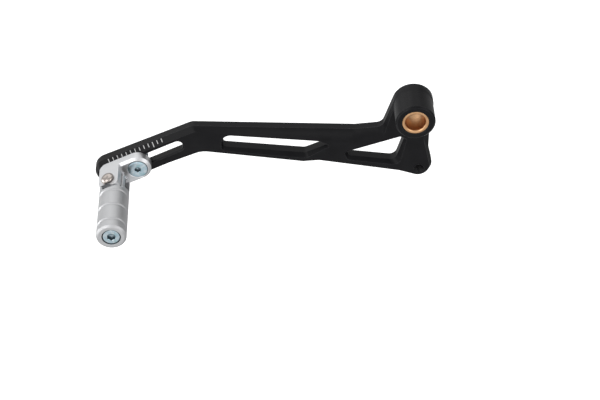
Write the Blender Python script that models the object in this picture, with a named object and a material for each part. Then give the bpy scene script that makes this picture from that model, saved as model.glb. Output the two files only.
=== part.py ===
"""Motorcycle gear shift lever with an adjustable, folding toe peg.

The lever arm is a milled aluminium plate lying in the XZ plane, with a turned hub at its
pivot.  A bracket is clamped in the slot at the arm's tip and carries the folding toe peg.

Frame: origin on the pivot axis at the middle of the plate's thickness, pivot axis along Y,
+X from the tip towards the pivot, +Z up, and the toe peg points towards -Y.
"""
import math

import bmesh
import bpy
from mathutils import Euler, Vector

MM = 0.001
GAP = 0.3                     # clearance kept between neighbouring pieces

# Lever plate
PLATE_FRONT = -4.0
PLATE_REAR = 4.0
BEVEL_START = -1.5            # the front bevels run from this depth to the front face
REAR_CHAMFER = 0.6
CORNER_STEPS = 5              # segments in each rounded corner of an outline

# Pivot hub and bushes
HUB_RADIUS = 12.25
HUB_BOSS_RADIUS = 11.9
HUB_FRONT = -19.3
HUB_REAR = 4.0
HUB_ROOT = 1.0                # the turned boss starts inside the plate
HUB_CHAMFER = 1.0
BUSH_OUTER_RADIUS = 7.8
BUSH_BORE_RADIUS = 6.0
BUSH_LENGTH = 11.0
BUSH_CHAMFER = 0.7

# Linkage hole
LINK_X = 5.3
LINK_Z = -47.0
LINK_RADIUS = 2.95

# Tip of the arm, in its own frame: u runs up the tip towards the pivot, v is square to it
TIP_ANGLE = math.radians(25.5)
TIP_END_U = -194.4
TIP_TOP_V = 47.9
TIP_BOTTOM_V = 28.6
TIP_END_RADIUS = 9.4

# Clamp slot in the tip
SLOT_V = 37.8
SLOT_LEFT_U = -169.9
SLOT_RIGHT_U = -135.9
SLOT_WIDTH = 6.6
SLOT_CHAMFER = 0.85
SLOT_LIP_DEPTH = 4.0
COUNTER_WIDTH = 10.4
COUNTER_OVERRUN = 5.0         # the wide rear slot is this much longer at its left end

# Bracket, measured from the clamp screw's axis
SCREW_U = -166.3
BRACKET_RADIUS = 8.15
BRACKET_REAR = PLATE_FRONT - GAP
BRACKET_FRONT = -10.6
BRACKET_BEVEL = 1.5
PIN_X = -15.4
PIN_Y = -20.5
EAR_LEFT = 6.4                # how far the ears reach to each side of the fold pin
EAR_RIGHT = 6.8
LOWER_EAR_RIGHT = 5.0
EAR_BACK_CORNER = 5.2
EAR_REACH = 3.9
NUB_REACH = 6.6               # the ear's inner corner stands further forward
NUB_TIP_X = 3.1
NUB_ROOT_X = 0.9
EAR_INNER = 4.3
EAR_OUTER = 8.3
EAR_ROOT = 3.0                # each ear's form starts inside the fork's slot
EAR_REAR = -4.6
EAR_LEFT_CORNER = 2.4
EAR_RIGHT_CORNER = 3.0
FORK_FLOOR = -8.2
FORK_RIGHT_X = -10.6

# Clamp screw, M6 countersunk, and its slot nut
THREAD_RADIUS = 2.9
CLAMP_HEAD_RADIUS = 5.8
CLAMP_HEAD_TOP = -11.0
CLAMP_HEAD_DEPTH = 3.1
CLAMP_TIP = 3.3
NUT_HALF_LENGTH = 5.8
NUT_CORNER = 4.0
NUT_HALF_WIDTH = 4.85

# Fold pin
PIN_RADIUS = 2.5
PIN_HEAD_RADIUS = 4.1
PIN_HEAD_HEIGHT = 2.3
PIN_TAIL = 2.6
CLIP_THICKNESS = 0.7

# Torsion spring round the fold pin
SPRING_WIRE_RADIUS = 0.5
SPRING_COIL_RADIUS = 4.2
SPRING_TURNS = 3
SPRING_PITCH = 1.15
SPRING_STEPS = 20
SPRING_REST_LEG = 11.4        # the rest leg bears in the fork this far behind the pin

# Toe peg, measured from the fold pin's axis
PEG_RADIUS = 9.0
PEG_LENGTH = 44.7
PEG_END_CHAMFER = 1.3
PEG_SWEEP_RADIUS = 8.7       # the round body starts this far from the fold pin
GROOVES = (11.1, 24.4, 37.7)
GROOVE_HALF_WIDTH = 1.2
GROOVE_DEPTH = 0.6
KNUCKLE_RADIUS = 7.2
KNUCKLE_HALF_THICKNESS = 3.9
SHOULDER_REACH = 7.1          # right of the ears the round body is cut square, so the peg folds right round
CHEEK_REACH = 4.7             # between the ears the round body runs on to this far behind the pin
SPRING_SLOT_HALF = 2.5
SPRING_SLOT_FLOOR = 5.6
COUNTERBORE_RADIUS = 5.6
COUNTERBORE_DEPTH = 5.7
END_HEAD_RADIUS = 5.1
END_HEAD_HEIGHT = 5.0
END_SHANK_LENGTH = 11.0

TURN_STEPS = 40               # segments round a turned piece
SMALL_TURN_STEPS = 28

# Windows in the arm: corners (x, z, fillet radius) at the wall, and on the front face
MID_WINDOW = ((-114.4, -18.5, 5.0), (-57.6, -24.7, 1.8), (-49.7, -27.6, 1.2),
              (-64.6, -34.2, 4.0), (-114.4, -28.1, 2.0))
MID_WINDOW_FACE = ((-115.5, -17.7, 5.6), (-56.8, -24.0, 2.2), (-48.6, -27.8, 1.4),
                   (-64.0, -36.9, 5.0), (-115.5, -29.6, 2.6))
TRIANGLE_WINDOW = ((-39.2, -33.0, 1.2), (-7.6, -22.6, 2.0), (-4.6, -24.6, 1.6),
                   (-9.4, -41.3, 4.6), (-38.0, -37.2, 1.6))
TRIANGLE_WINDOW_FACE = ((-41.2, -33.1, 1.8), (-6.9, -21.7, 2.6), (-2.9, -23.8, 2.0),
                        (-6.7, -43.9, 5.0), (-38.7, -39.0, 2.2))


def tip_point(u, v):
    """A point (x, z) given in the frame of the arm's tip."""
    x = u * math.cos(TIP_ANGLE) - v * math.sin(TIP_ANGLE)
    z = u * math.sin(TIP_ANGLE) + v * math.cos(TIP_ANGLE)
    return x, z


def arc(centre, radius, start, end, steps):
    """Points on an arc, angles in degrees."""
    points = []
    for i in range(steps + 1):
        angle = math.radians(start + (end - start) * i / steps)
        points.append((centre[0] + radius * math.cos(angle), centre[1] + radius * math.sin(angle)))
    return points


def rounded(corners, closed=True, steps=CORNER_STEPS):
    """Round each (x, z, radius) corner of a polygon; an open run keeps its end points."""
    count = len(corners)
    points = []
    for i, (x, z, radius) in enumerate(corners):
        if not closed and i in (0, count - 1):
            points.append((x, z))
            continue
        here = Vector((x, z))
        back = (Vector(corners[i - 1][:2]) - here).normalized()
        ahead = (Vector(corners[(i + 1) % count][:2]) - here).normalized()
        half = back.angle(ahead) / 2
        centre = here + (back + ahead).normalized() * radius / math.sin(half)
        start = here + back * radius / math.tan(half) - centre
        end = here + ahead * radius / math.tan(half) - centre
        sweep = start.angle_signed(end)
        for j in range(steps + 1):
            turn = -sweep * j / steps
            c, s = math.cos(turn), math.sin(turn)
            points.append((centre.x + start.x * c - start.y * s, centre.y + start.x * s + start.y * c))
    return points


def finish_mesh(name, bm, material, parent=None, smooth_angle=30):
    """Turn a bmesh in millimetres into an object in metres."""
    bmesh.ops.remove_doubles(bm, verts=bm.verts, dist=1e-5)
    bmesh.ops.recalc_face_normals(bm, faces=bm.faces)
    bmesh.ops.scale(bm, vec=(MM, MM, MM), verts=bm.verts)
    mesh = bpy.data.meshes.new(name)
    bm.to_mesh(mesh)
    bm.free()
    mesh.shade_smooth()
    mesh.set_sharp_from_angle(angle=math.radians(smooth_angle))
    obj = bpy.data.objects.new(name, mesh)
    if material is not None:
        mesh.materials.append(material)
    bpy.context.scene.collection.objects.link(obj)
    obj.parent = parent
    return obj


def loft(name, sections, material, parent=None):
    """Skin through outlines of equal length; sections are (depth along Y, outline in XZ)."""
    bm = bmesh.new()
    rings = []
    for depth, outline in sections:
        rings.append([bm.verts.new((x, depth, z)) for x, z in outline])
    bm.faces.new(rings[0])
    bm.faces.new(reversed(rings[-1]))
    count = len(rings[0])
    for near, far in zip(rings, rings[1:]):
        for i in range(count):
            j = (i + 1) % count
            bm.faces.new((near[i], near[j], far[j], far[i]))
    return finish_mesh(name, bm, material, parent)


def slab(name, outline, low, high, material, parent=None, chamfer=0.0):
    """Extrude an outline given in the XY plane from one height to another."""
    bm = bmesh.new()
    base = bm.faces.new([bm.verts.new((x, y, low)) for x, y in outline])
    grown = bmesh.ops.extrude_face_region(bm, geom=[base])
    top = [v for v in grown["geom"] if isinstance(v, bmesh.types.BMVert)]
    bmesh.ops.translate(bm, vec=(0, 0, high - low), verts=top)
    if chamfer > 0:
        rims = [e for e in bm.edges if abs(e.verts[0].co.z - e.verts[1].co.z) < 1e-6]
        bmesh.ops.bevel(bm, geom=rims, offset=chamfer, segments=1, affect="EDGES")
    return finish_mesh(name, bm, material, parent)


def turned(name, profile, material, parent=None, axis="Y", closed=False, steps=TURN_STEPS):
    """Spin a profile of (radius, position) round the Y or the Z axis."""
    bm = bmesh.new()
    if axis == "Y":
        verts = [bm.verts.new((r, along, 0)) for r, along in profile]
        direction = (0, 1, 0)
    else:
        verts = [bm.verts.new((r, 0, along)) for r, along in profile]
        direction = (0, 0, 1)
    edges = [bm.edges.new(pair) for pair in zip(verts, verts[1:])]
    if closed:
        edges.append(bm.edges.new((verts[-1], verts[0])))
    bmesh.ops.spin(bm, geom=verts + edges, cent=(0, 0, 0), axis=direction,
                   angle=math.tau, steps=steps, use_merge=True)
    return finish_mesh(name, bm, material, parent)


def block(name, low, high, parent=None):
    """A box-shaped cutter between two corners."""
    bm = bmesh.new()
    bmesh.ops.create_cube(bm, size=1.0)
    size = Vector(high) - Vector(low)
    middle = (Vector(high) + Vector(low)) / 2
    bmesh.ops.scale(bm, vec=size, verts=bm.verts)
    bmesh.ops.translate(bm, vec=middle, verts=bm.verts)
    return as_cutter(finish_mesh(name, bm, None, parent))


def as_cutter(obj):
    """Mark an object as a guide that only shapes others."""
    obj.hide_render = True
    obj.display_type = "WIRE"
    return obj


def combine(target, tool, operation="DIFFERENCE"):
    """Add an exact Boolean to the target."""
    mod = target.modifiers.new(operation.title() + " " + tool.name, "BOOLEAN")
    mod.operation = operation
    mod.solver = "EXACT"
    mod.object = tool
    as_cutter(tool)


def hexagon(radius):
    """Corners of a hex socket, in the XZ plane, across the points."""
    return arc((0, 0), radius, 0, 300, 5)


def material(name, color, roughness, metallic):
    """A plain Principled material."""
    mat = bpy.data.materials.new(name)
    mat.use_nodes = True
    shader = mat.node_tree.nodes["Principled BSDF"]
    shader.inputs["Base Color"].default_value = (*color, 1.0)
    shader.inputs["Roughness"].default_value = roughness
    shader.inputs["Metallic"].default_value = metallic
    return mat


def empty(name, location, rotation=(0, 0, 0), parent=None):
    """A named axis that pieces hang from."""
    obj = bpy.data.objects.new(name, None)
    bpy.context.scene.collection.objects.link(obj)
    obj.location = Vector(location) * MM
    obj.rotation_euler = Euler(rotation)
    obj.parent = parent
    return obj


# ---------------------------------------------------------------- lever arm

def arm_outline():
    """The plate's full outline, clockwise from the tip."""
    upper = [(*tip_point(TIP_END_U + 20, TIP_BOTTOM_V), 0),
             (*tip_point(TIP_END_U, TIP_BOTTOM_V), TIP_END_RADIUS),
             (*tip_point(TIP_END_U, TIP_TOP_V), TIP_END_RADIUS),
             (-132.9, -12.1, 8.0),
             (-34.5, -16.9, 12.0),
             (-18.0, -15.5, 5.0),
             (-11.61, 3.92, 0)]
    lower = [(10.6, -6.12, 0),
             (10.6, -32.2, 10.0),
             (16.3, -56.9, 8.3),
             (-6.5, -48.9, 14.0),
             (-56.3, -39.2, 6.0),
             (-66.0, -39.9, 6.0),
             (-127.6, -30.2, 14.0),
             (*tip_point(TIP_END_U + 45, TIP_BOTTOM_V + 0.1), 0)]
    hub = arc((0, 0), HUB_RADIUS, 161.3, -30.0, 26)[1:-1]
    return rounded(upper, closed=False) + hub + rounded(lower, closed=False)


def arm_face():
    """The same outline on the front face, inside the bevels."""
    upper = [(*tip_point(TIP_END_U + 20, TIP_BOTTOM_V + 0.5), 0),
             (*tip_point(TIP_END_U + 1.2, TIP_BOTTOM_V + 0.5), TIP_END_RADIUS - 1.3),
             (*tip_point(TIP_END_U + 1.2, TIP_TOP_V - 3.5), TIP_END_RADIUS - 3.5),
             (-131.0, -14.75, 5.0),
             (-35.6, -25.4, 4.0),
             (-16.2, -18.0, 4.0),
             (-10.67, 3.6, 0)]
    lower = [(7.2, -8.4, 0),
             (7.2, -24.5, 10.0),
             (14.0, -55.2, 6.8),
             (-6.7, -48.0, 14.0),
             (-56.2, -38.6, 6.0),
             (-66.0, -39.2, 6.0),
             (-127.5, -29.6, 14.0),
             (*tip_point(TIP_END_U + 45, TIP_BOTTOM_V + 0.6), 0)]
    hub = arc((0, 0), HUB_RADIUS - 1.0, 161.3, -49.4, 26)[1:-1]
    return rounded(upper, closed=False) + hub + rounded(lower, closed=False)


def shrink_towards_middle(outline, depth):
    """Offset an outline inwards by its vertex normals."""
    count = len(outline)
    points = []
    for i in range(count):
        before = Vector(outline[i - 1])
        after = Vector(outline[(i + 1) % count])
        along = (after - before).normalized()
        inward = Vector((along.y, -along.x))
        points.append(tuple(Vector(outline[i]) + inward * depth))
    return points


def window_cutter(name, wall, face, steps=4):
    """A straight-walled window that flares out at the front face."""
    wall_outline = rounded(wall, steps=steps)
    face_outline = rounded(face, steps=steps)
    slope = []
    for near, far in zip(wall_outline, face_outline):
        slope.append(tuple(Vector(far) + (Vector(far) - Vector(near)) * 0.2))
    over = (PLATE_FRONT - BEVEL_START) * 0.2
    sections = [(PLATE_FRONT + over, slope), (BEVEL_START, wall_outline), (PLATE_REAR + 1, wall_outline)]
    return as_cutter(loft(name, sections, None))


def slot_outline(left, right, half_width, steps=8):
    """A slot with round ends along the tip, in the XZ plane."""
    tilt = math.degrees(TIP_ANGLE)
    right_centre = tip_point(right - half_width, SLOT_V)
    left_centre = tip_point(left + half_width, SLOT_V)
    return (arc(right_centre, half_width, tilt + 90, tilt - 90, steps)
            + arc(left_centre, half_width, tilt - 90, tilt - 270, steps))


def slot_cutter():
    """The clamp slot: a chamfered mouth and a narrow lip at the front."""
    half = SLOT_WIDTH / 2
    mouth = SLOT_CHAMFER + 0.3
    wide = slot_outline(SLOT_LEFT_U - mouth, SLOT_RIGHT_U + mouth, half + mouth)
    straight = slot_outline(SLOT_LEFT_U, SLOT_RIGHT_U, half)
    sections = [(PLATE_FRONT - 0.3, wide), (PLATE_FRONT + SLOT_CHAMFER, straight), (1.0, straight)]
    return as_cutter(loft("slot_cutter", sections, None))


def counter_slot_cutter():
    """The wider slot at the rear, in which the nut slides."""
    outline = slot_outline(SLOT_LEFT_U - COUNTER_OVERRUN, SLOT_RIGHT_U + 2.0, COUNTER_WIDTH / 2)
    depth = PLATE_FRONT + SLOT_LIP_DEPTH
    return as_cutter(loft("counter_slot_cutter", [(depth, outline), (PLATE_REAR + 1, outline)], None))


def make_lever_arm(mat):
    """Plate, hub, windows, slot and holes."""
    outline = arm_outline()
    rear = shrink_towards_middle(outline, REAR_CHAMFER)
    sections = [(PLATE_FRONT, arm_face()), (BEVEL_START, outline),
                (PLATE_REAR - REAR_CHAMFER, outline), (PLATE_REAR, rear)]
    arm = loft("lever_arm", sections, mat)

    hub_profile = [(0, HUB_ROOT), (HUB_BOSS_RADIUS, HUB_ROOT), (HUB_BOSS_RADIUS, HUB_FRONT + HUB_CHAMFER),
                   (HUB_BOSS_RADIUS - HUB_CHAMFER, HUB_FRONT), (0, HUB_FRONT)]
    combine(arm, turned("hub_form", hub_profile, None, steps=48), "UNION")

    bore = BUSH_OUTER_RADIUS + GAP
    bore_profile = [(0, HUB_REAR + 1), (bore, HUB_REAR + 1), (bore, HUB_FRONT - 1), (0, HUB_FRONT - 1)]
    combine(arm, turned("bore_cutter", bore_profile, None))

    mouth = LINK_RADIUS + 0.7
    link_profile = [(0, PLATE_FRONT - 1), (mouth + 1, PLATE_FRONT - 1), (mouth, PLATE_FRONT),
                    (LINK_RADIUS, PLATE_FRONT + 0.7), (LINK_RADIUS, PLATE_REAR + 1), (0, PLATE_REAR + 1)]
    link = turned("link_cutter", link_profile, None, steps=24)
    link.location = Vector((LINK_X, 0, LINK_Z)) * MM
    combine(arm, link)

    combine(arm, window_cutter("mid_window_cutter", MID_WINDOW, MID_WINDOW_FACE))
    combine(arm, window_cutter("triangle_window_cutter", TRIANGLE_WINDOW, TRIANGLE_WINDOW_FACE))
    combine(arm, slot_cutter())
    combine(arm, counter_slot_cutter())
    return arm


def make_bush(name, front, mat):
    """A plain bronze bush with its bore chamfered at both ends."""
    rear = front + BUSH_LENGTH
    inner = BUSH_BORE_RADIUS
    profile = [(inner, front + BUSH_CHAMFER), (inner + BUSH_CHAMFER, front), (BUSH_OUTER_RADIUS - 0.2, front),
               (BUSH_OUTER_RADIUS, front + 0.2), (BUSH_OUTER_RADIUS, rear - 0.2),
               (BUSH_OUTER_RADIUS - 0.2, rear), (inner + BUSH_CHAMFER, rear), (inner, rear - BUSH_CHAMFER)]
    return turned(name, profile, mat, closed=True)


# ---------------------------------------------------------------- toe bracket

def bracket_outline(radius, left):
    """Eye round the clamp screw on the right, square-ended on the left."""
    eye = arc((0, 0), radius, 90, -90, 18)
    corner = 2.5
    bottom_left = arc((left + corner, -radius + corner), corner, -90, -180, 4)
    top_left = arc((left + corner, radius - corner), corner, 180, 90, 4)
    return eye + bottom_left + top_left


def upper_ear_outline():
    """Plan of the upper clevis ear, in XY, from the plate forwards to its nub."""
    left = PIN_X - EAR_LEFT
    right = PIN_X + EAR_RIGHT
    front = PIN_Y - EAR_REACH
    nub = PIN_Y - NUB_REACH
    corners = [(left, EAR_REAR, 2.4), (right, EAR_REAR, 1.0), (right, nub, EAR_RIGHT_CORNER),
               (PIN_X + NUB_TIP_X, nub, 0.8), (PIN_X + NUB_ROOT_X, front, 0.8), (left, front, EAR_LEFT_CORNER)]
    return rounded(corners, steps=6)


def lower_ear_outline():
    """Plan of the lower ear, which is narrower and has no nub."""
    left = PIN_X - EAR_LEFT
    right = PIN_X + LOWER_EAR_RIGHT
    front = PIN_Y - EAR_REACH
    corners = [(left, EAR_REAR, 2.4), (right, EAR_REAR, 1.0), (right, front, EAR_RIGHT_CORNER),
               (left, front, EAR_LEFT_CORNER)]
    return rounded(corners, steps=6)


def back_corner_cutter(parent):
    """Rounds the bracket off behind its left end."""
    left = PIN_X - EAR_LEFT
    radius = EAR_BACK_CORNER
    centre = (left + radius - 0.1, BRACKET_REAR - radius + 0.1)
    outline = arc(centre, radius, 90, 180, 8) + [(left - 2, centre[1]), (left - 2, 0), (centre[0], 0)]
    return slab("back_corner_cutter", outline, -14, 14, None, parent)


def make_bracket(mat, parent):
    """Clamped plate with a bevelled rim, and a fork of two ears for the fold pin."""
    left = PIN_X - EAR_LEFT + 0.2
    full = bracket_outline(BRACKET_RADIUS, left)
    inner = bracket_outline(BRACKET_RADIUS - BRACKET_BEVEL, left + BRACKET_BEVEL)
    sections = [(BRACKET_FRONT, inner), (BRACKET_FRONT + BRACKET_BEVEL, full), (BRACKET_REAR, full)]
    bracket = loft("toe_bracket", sections, mat, parent)

    upper = slab("upper_ear_form", upper_ear_outline(), EAR_ROOT, EAR_OUTER, None, parent, chamfer=0.35)
    combine(bracket, upper, "UNION")
    lower = slab("lower_ear_form", lower_ear_outline(), -EAR_OUTER, -EAR_ROOT, None, parent, chamfer=0.35)
    combine(bracket, lower, "UNION")

    fork_corners = [(left - 4, PIN_Y - 15, 0.5), (FORK_RIGHT_X + 3.8, PIN_Y - 15, 0.5),
                    (FORK_RIGHT_X + 3.8, BRACKET_FRONT - 1.8, 0.5), (FORK_RIGHT_X, FORK_FLOOR, 2.2),
                    (left - 4, FORK_FLOOR, 0.5)]
    fork = slab("fork_cutter", rounded(fork_corners, steps=4), -EAR_INNER, EAR_INNER, None, parent)
    combine(bracket, fork)
    combine(bracket, back_corner_cutter(parent))

    reach = CLAMP_HEAD_RADIUS + GAP
    cone_end = CLAMP_HEAD_TOP + CLAMP_HEAD_DEPTH + 0.4
    shank = THREAD_RADIUS + GAP
    sink_profile = [(0, BRACKET_FRONT - 2), (reach, BRACKET_FRONT - 2), (reach, CLAMP_HEAD_TOP + 0.7),
                    (shank, cone_end), (shank, BRACKET_REAR + 2), (0, BRACKET_REAR + 2)]
    combine(bracket, turned("sink_cutter", sink_profile, None, parent))

    hole = PIN_RADIUS + GAP
    pin_profile = [(0, -12), (hole, -12), (hole, 12), (0, 12)]
    pin_hole = turned("pin_hole_cutter", pin_profile, None, parent, axis="Z", steps=24)
    pin_hole.location = Vector((PIN_X, PIN_Y, 0)) * MM
    combine(bracket, pin_hole)
    return bracket


def make_clamp_screw(mat, parent):
    """Countersunk screw with a hex socket, through the bracket into the slot nut."""
    top = CLAMP_HEAD_TOP
    radius = CLAMP_HEAD_RADIUS
    profile = [(0, top), (radius - 0.9, top), (radius, top + 0.4), (radius, top + 0.8),
               (THREAD_RADIUS, top + CLAMP_HEAD_DEPTH + 0.3), (THREAD_RADIUS, CLAMP_TIP - 0.6),
               (THREAD_RADIUS - 0.6, CLAMP_TIP), (0, CLAMP_TIP)]
    screw = turned("clamp_screw", profile, mat, parent, steps=SMALL_TURN_STEPS)
    socket = loft("clamp_socket_cutter", [(top - 1, hexagon(2.3)), (top + 2.2, hexagon(2.3))], None, parent)
    combine(screw, socket)
    return screw


def make_slot_nut(mat, parent):
    """Flat nut with rounded corners, guided by the walls of the rear slot."""
    low = PLATE_FRONT + SLOT_LIP_DEPTH + GAP
    high = PLATE_REAR - 0.4
    half = NUT_HALF_LENGTH
    wide = NUT_HALF_WIDTH
    corner = NUT_CORNER
    outline = rounded([(-half, wide, corner), (half, wide, corner), (half, -wide, corner),
                    (-half, -wide, corner)], steps=6)
    nut = loft("slot_nut", [(low, outline), (high, outline)], mat, parent)
    hole = THREAD_RADIUS + GAP
    bore = turned("nut_bore_cutter", [(0, -9), (hole, -9), (hole, 9), (0, 9)], None, parent, steps=24)
    combine(nut, bore)
    return nut


def make_fold_pin(mat, parent):
    """Domed pin that the peg folds on, grooved at its lower end for the clip."""
    top = EAR_OUTER + GAP
    tail = -EAR_OUTER - PIN_TAIL
    clip_top = -EAR_OUTER - 0.5
    clip_low = clip_top - CLIP_THICKNESS - 2 * 0.15
    dome = [(radius, top + 0.3 + (PIN_HEAD_HEIGHT - 0.3) * math.sqrt(1 - (radius / PIN_HEAD_RADIUS) ** 2))
            for radius in (0, 1.4, 2.6, 3.5, PIN_HEAD_RADIUS)]
    profile = [*dome, (PIN_HEAD_RADIUS, top),
               (PIN_RADIUS, top), (PIN_RADIUS, clip_top), (PIN_RADIUS - 0.7, clip_top),
               (PIN_RADIUS - 0.7, clip_low), (PIN_RADIUS, clip_low), (PIN_RADIUS, tail + 0.4),
               (PIN_RADIUS - 0.4, tail), (0, tail)]
    return turned("fold_pin", profile, mat, parent, axis="Z", steps=SMALL_TURN_STEPS)


def make_pin_clip(mat, parent):
    """Open retaining ring in the fold pin's groove."""
    inner = PIN_RADIUS - 0.7 + GAP
    outer = PIN_RADIUS + 1.6
    opening = 40
    outline = (arc((0, 0), outer, opening, 360 - opening, 22)
               + arc((0, 0), inner, 360 - opening, opening, 22))
    top = -EAR_OUTER - 0.5 - 0.15
    return slab("pin_clip", outline, top - CLIP_THICKNESS, top, mat, parent)


def make_return_spring(mat, parent):
    """Torsion spring: turns round the fold pin and two straight legs."""
    count = SPRING_TURNS * SPRING_STEPS
    height = SPRING_TURNS * SPRING_PITCH
    radius = SPRING_COIL_RADIUS
    points = []
    for i in range(count + 1):
        angle = math.tau * (i / SPRING_STEPS + 0.25)
        z = -height / 2 + height * i / count
        points.append((radius * math.sin(angle), radius * math.cos(angle), z))
    rest_leg = [(radius, SPRING_REST_LEG, points[0][2])]
    peg_leg = [(radius, -SPRING_SLOT_FLOOR + 2 * GAP, points[-1][2])]
    route = rest_leg + points + peg_leg
    curve = bpy.data.curves.new("return_spring", "CURVE")
    curve.dimensions = "3D"
    curve.bevel_depth = SPRING_WIRE_RADIUS * MM
    curve.bevel_resolution = 1
    curve.use_fill_caps = True
    spline = curve.splines.new("POLY")
    spline.points.add(len(route) - 1)
    for point, place in zip(spline.points, route):
        point.co = (*(Vector(place) * MM), 1.0)
    curve.materials.append(mat)
    obj = bpy.data.objects.new("return_spring", curve)
    bpy.context.scene.collection.objects.link(obj)
    obj.parent = parent
    return obj


# ---------------------------------------------------------------- toe peg

def peg_profile():
    """Profile of the round body: grooves, end chamfer and the counterbore."""
    radius = PEG_RADIUS
    end = -PEG_LENGTH
    back = KNUCKLE_RADIUS + 1
    points = [(0, back), (radius, back)]
    for groove in GROOVES:
        points += [(radius, -groove + GROOVE_HALF_WIDTH),
                   (radius - GROOVE_DEPTH, -groove + GROOVE_HALF_WIDTH / 2),
                   (radius - GROOVE_DEPTH, -groove - GROOVE_HALF_WIDTH / 2),
                   (radius, -groove - GROOVE_HALF_WIDTH)]
    hole = THREAD_RADIUS + GAP
    floor = end + COUNTERBORE_DEPTH
    points += [(radius, end + PEG_END_CHAMFER), (radius - PEG_END_CHAMFER, end),
               (COUNTERBORE_RADIUS + 0.3, end), (COUNTERBORE_RADIUS, end + 0.3),
               (COUNTERBORE_RADIUS, floor), (hole, floor),
               (hole, floor + END_SHANK_LENGTH + 1.2), (0, floor + END_SHANK_LENGTH + 2.6)]
    return points


def sweep_cutter(side, parent):
    """Room that the peg's round body leaves for an ear as it folds."""
    steps = 24
    reach = PEG_SWEEP_RADIUS
    outer = reach + 4
    shoulder = 360 - math.degrees(math.asin(SHOULDER_REACH / reach))
    outline = arc((0, 0), reach, 180, shoulder, steps)
    outline += [(outer, -SHOULDER_REACH), (outer, 14), (-outer, 14), (-outer, 0)]
    inner = KNUCKLE_HALF_THICKNESS
    low, high = (inner, 14) if side > 0 else (-14, -inner)
    name = "upper_sweep_cutter" if side > 0 else "lower_sweep_cutter"
    return slab(name, outline, low, high, None, parent)


def back_cutter(parent):
    """Rounds the knuckle off behind the fold pin."""
    flare = PEG_RADIUS + 1
    start = math.degrees(math.asin(CHEEK_REACH / KNUCKLE_RADIUS))
    back = arc((0, 0), KNUCKLE_RADIUS, start, 180 - start, 16)
    outer = [(-flare, CHEEK_REACH), (-flare, 12), (flare, 12), (flare, CHEEK_REACH)]
    return slab("back_cutter", back + outer, -14, 14, None, parent)


def make_toe_peg(mat, parent):
    """Grooved round peg with a flat knuckle that turns between the ears."""
    peg = turned("toe_peg", peg_profile(), mat, parent)
    combine(peg, sweep_cutter(1, parent))
    combine(peg, sweep_cutter(-1, parent))
    combine(peg, back_cutter(parent))
    half = SPRING_SLOT_HALF
    combine(peg, block("spring_slot_cutter", (-12, -SPRING_SLOT_FLOOR, -half), (12, 12, half), parent))
    hole = PIN_RADIUS + GAP
    combine(peg, turned("knuckle_bore_cutter", [(0, -9), (hole, -9), (hole, 9), (0, 9)], None, parent,
                        axis="Z", steps=24))
    return peg


def make_end_screw(mat, parent):
    """Socket screw that closes the end of the peg."""
    seat = -PEG_LENGTH + COUNTERBORE_DEPTH - GAP
    top = seat - END_HEAD_HEIGHT
    radius = END_HEAD_RADIUS
    tip = seat + END_SHANK_LENGTH
    profile = [(0, top), (radius - 0.5, top), (radius, top + 0.5), (radius, seat), (THREAD_RADIUS, seat),
               (THREAD_RADIUS, tip - 0.6), (THREAD_RADIUS - 0.6, tip), (0, tip)]
    screw = turned("peg_end_screw", profile, mat, parent, steps=SMALL_TURN_STEPS)
    socket = loft("end_socket_cutter", [(top - 1, hexagon(2.9)), (top + 2.6, hexagon(2.9))], None, parent)
    combine(screw, socket)
    return screw


def main():
    for old in list(bpy.data.objects):
        bpy.data.objects.remove(old, do_unlink=True)

    black = material("black_anodised", (0.012, 0.012, 0.014), 0.42, 0.6)
    silver = material("silver_anodised", (0.62, 0.63, 0.65), 0.38, 0.9)
    bronze = material("sintered_bronze", (0.62, 0.33, 0.12), 0.4, 0.9)
    zinc = material("blue_zinc_steel", (0.55, 0.64, 0.68), 0.28, 0.95)
    stainless = material("stainless_steel", (0.6, 0.57, 0.54), 0.25, 1.0)
    spring_steel = material("spring_steel", (0.2, 0.12, 0.08), 0.4, 0.8)

    make_lever_arm(black)
    make_bush("pivot_bush_front", HUB_FRONT + 0.2, bronze)
    make_bush("pivot_bush_rear", HUB_REAR - 0.2 - BUSH_LENGTH, bronze)

    screw_x, screw_z = tip_point(SCREW_U, SLOT_V)
    bracket_axis = empty("bracket_axis", (screw_x, 0, screw_z), (0, -TIP_ANGLE, 0))
    fold_axis = empty("fold_axis", (PIN_X, PIN_Y, 0), parent=bracket_axis)

    make_bracket(silver, bracket_axis)
    make_clamp_screw(zinc, bracket_axis)
    make_slot_nut(zinc, bracket_axis)
    make_fold_pin(stainless, fold_axis)
    make_pin_clip(stainless, fold_axis)
    make_return_spring(spring_steel, fold_axis)
    make_toe_peg(silver, fold_axis)
    make_end_screw(zinc, fold_axis)


main()
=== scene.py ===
"""Looks of the gear shift lever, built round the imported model's frame."""
import math

import bmesh
import bpy
from mathutils import Matrix, Vector


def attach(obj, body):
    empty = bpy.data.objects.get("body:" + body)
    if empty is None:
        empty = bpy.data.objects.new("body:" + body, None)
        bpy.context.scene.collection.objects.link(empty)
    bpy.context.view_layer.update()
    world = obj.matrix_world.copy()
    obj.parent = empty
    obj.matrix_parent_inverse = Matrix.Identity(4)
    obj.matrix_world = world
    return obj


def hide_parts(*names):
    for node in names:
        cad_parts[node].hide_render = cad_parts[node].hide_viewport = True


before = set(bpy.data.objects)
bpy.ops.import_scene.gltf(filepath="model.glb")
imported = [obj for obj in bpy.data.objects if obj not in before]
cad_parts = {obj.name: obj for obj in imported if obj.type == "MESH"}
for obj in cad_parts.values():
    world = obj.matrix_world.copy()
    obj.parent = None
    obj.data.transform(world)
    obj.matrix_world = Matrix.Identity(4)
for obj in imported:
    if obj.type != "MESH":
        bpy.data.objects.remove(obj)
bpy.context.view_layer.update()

MM = 0.001

# ---------------------------------------------------------------- sizes, in millimetres

GAP = 0.3                   # running clearance between pieces
HOLE_CLEARANCE = 0.12       # between the fold pin and its holes, on the radius

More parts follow.
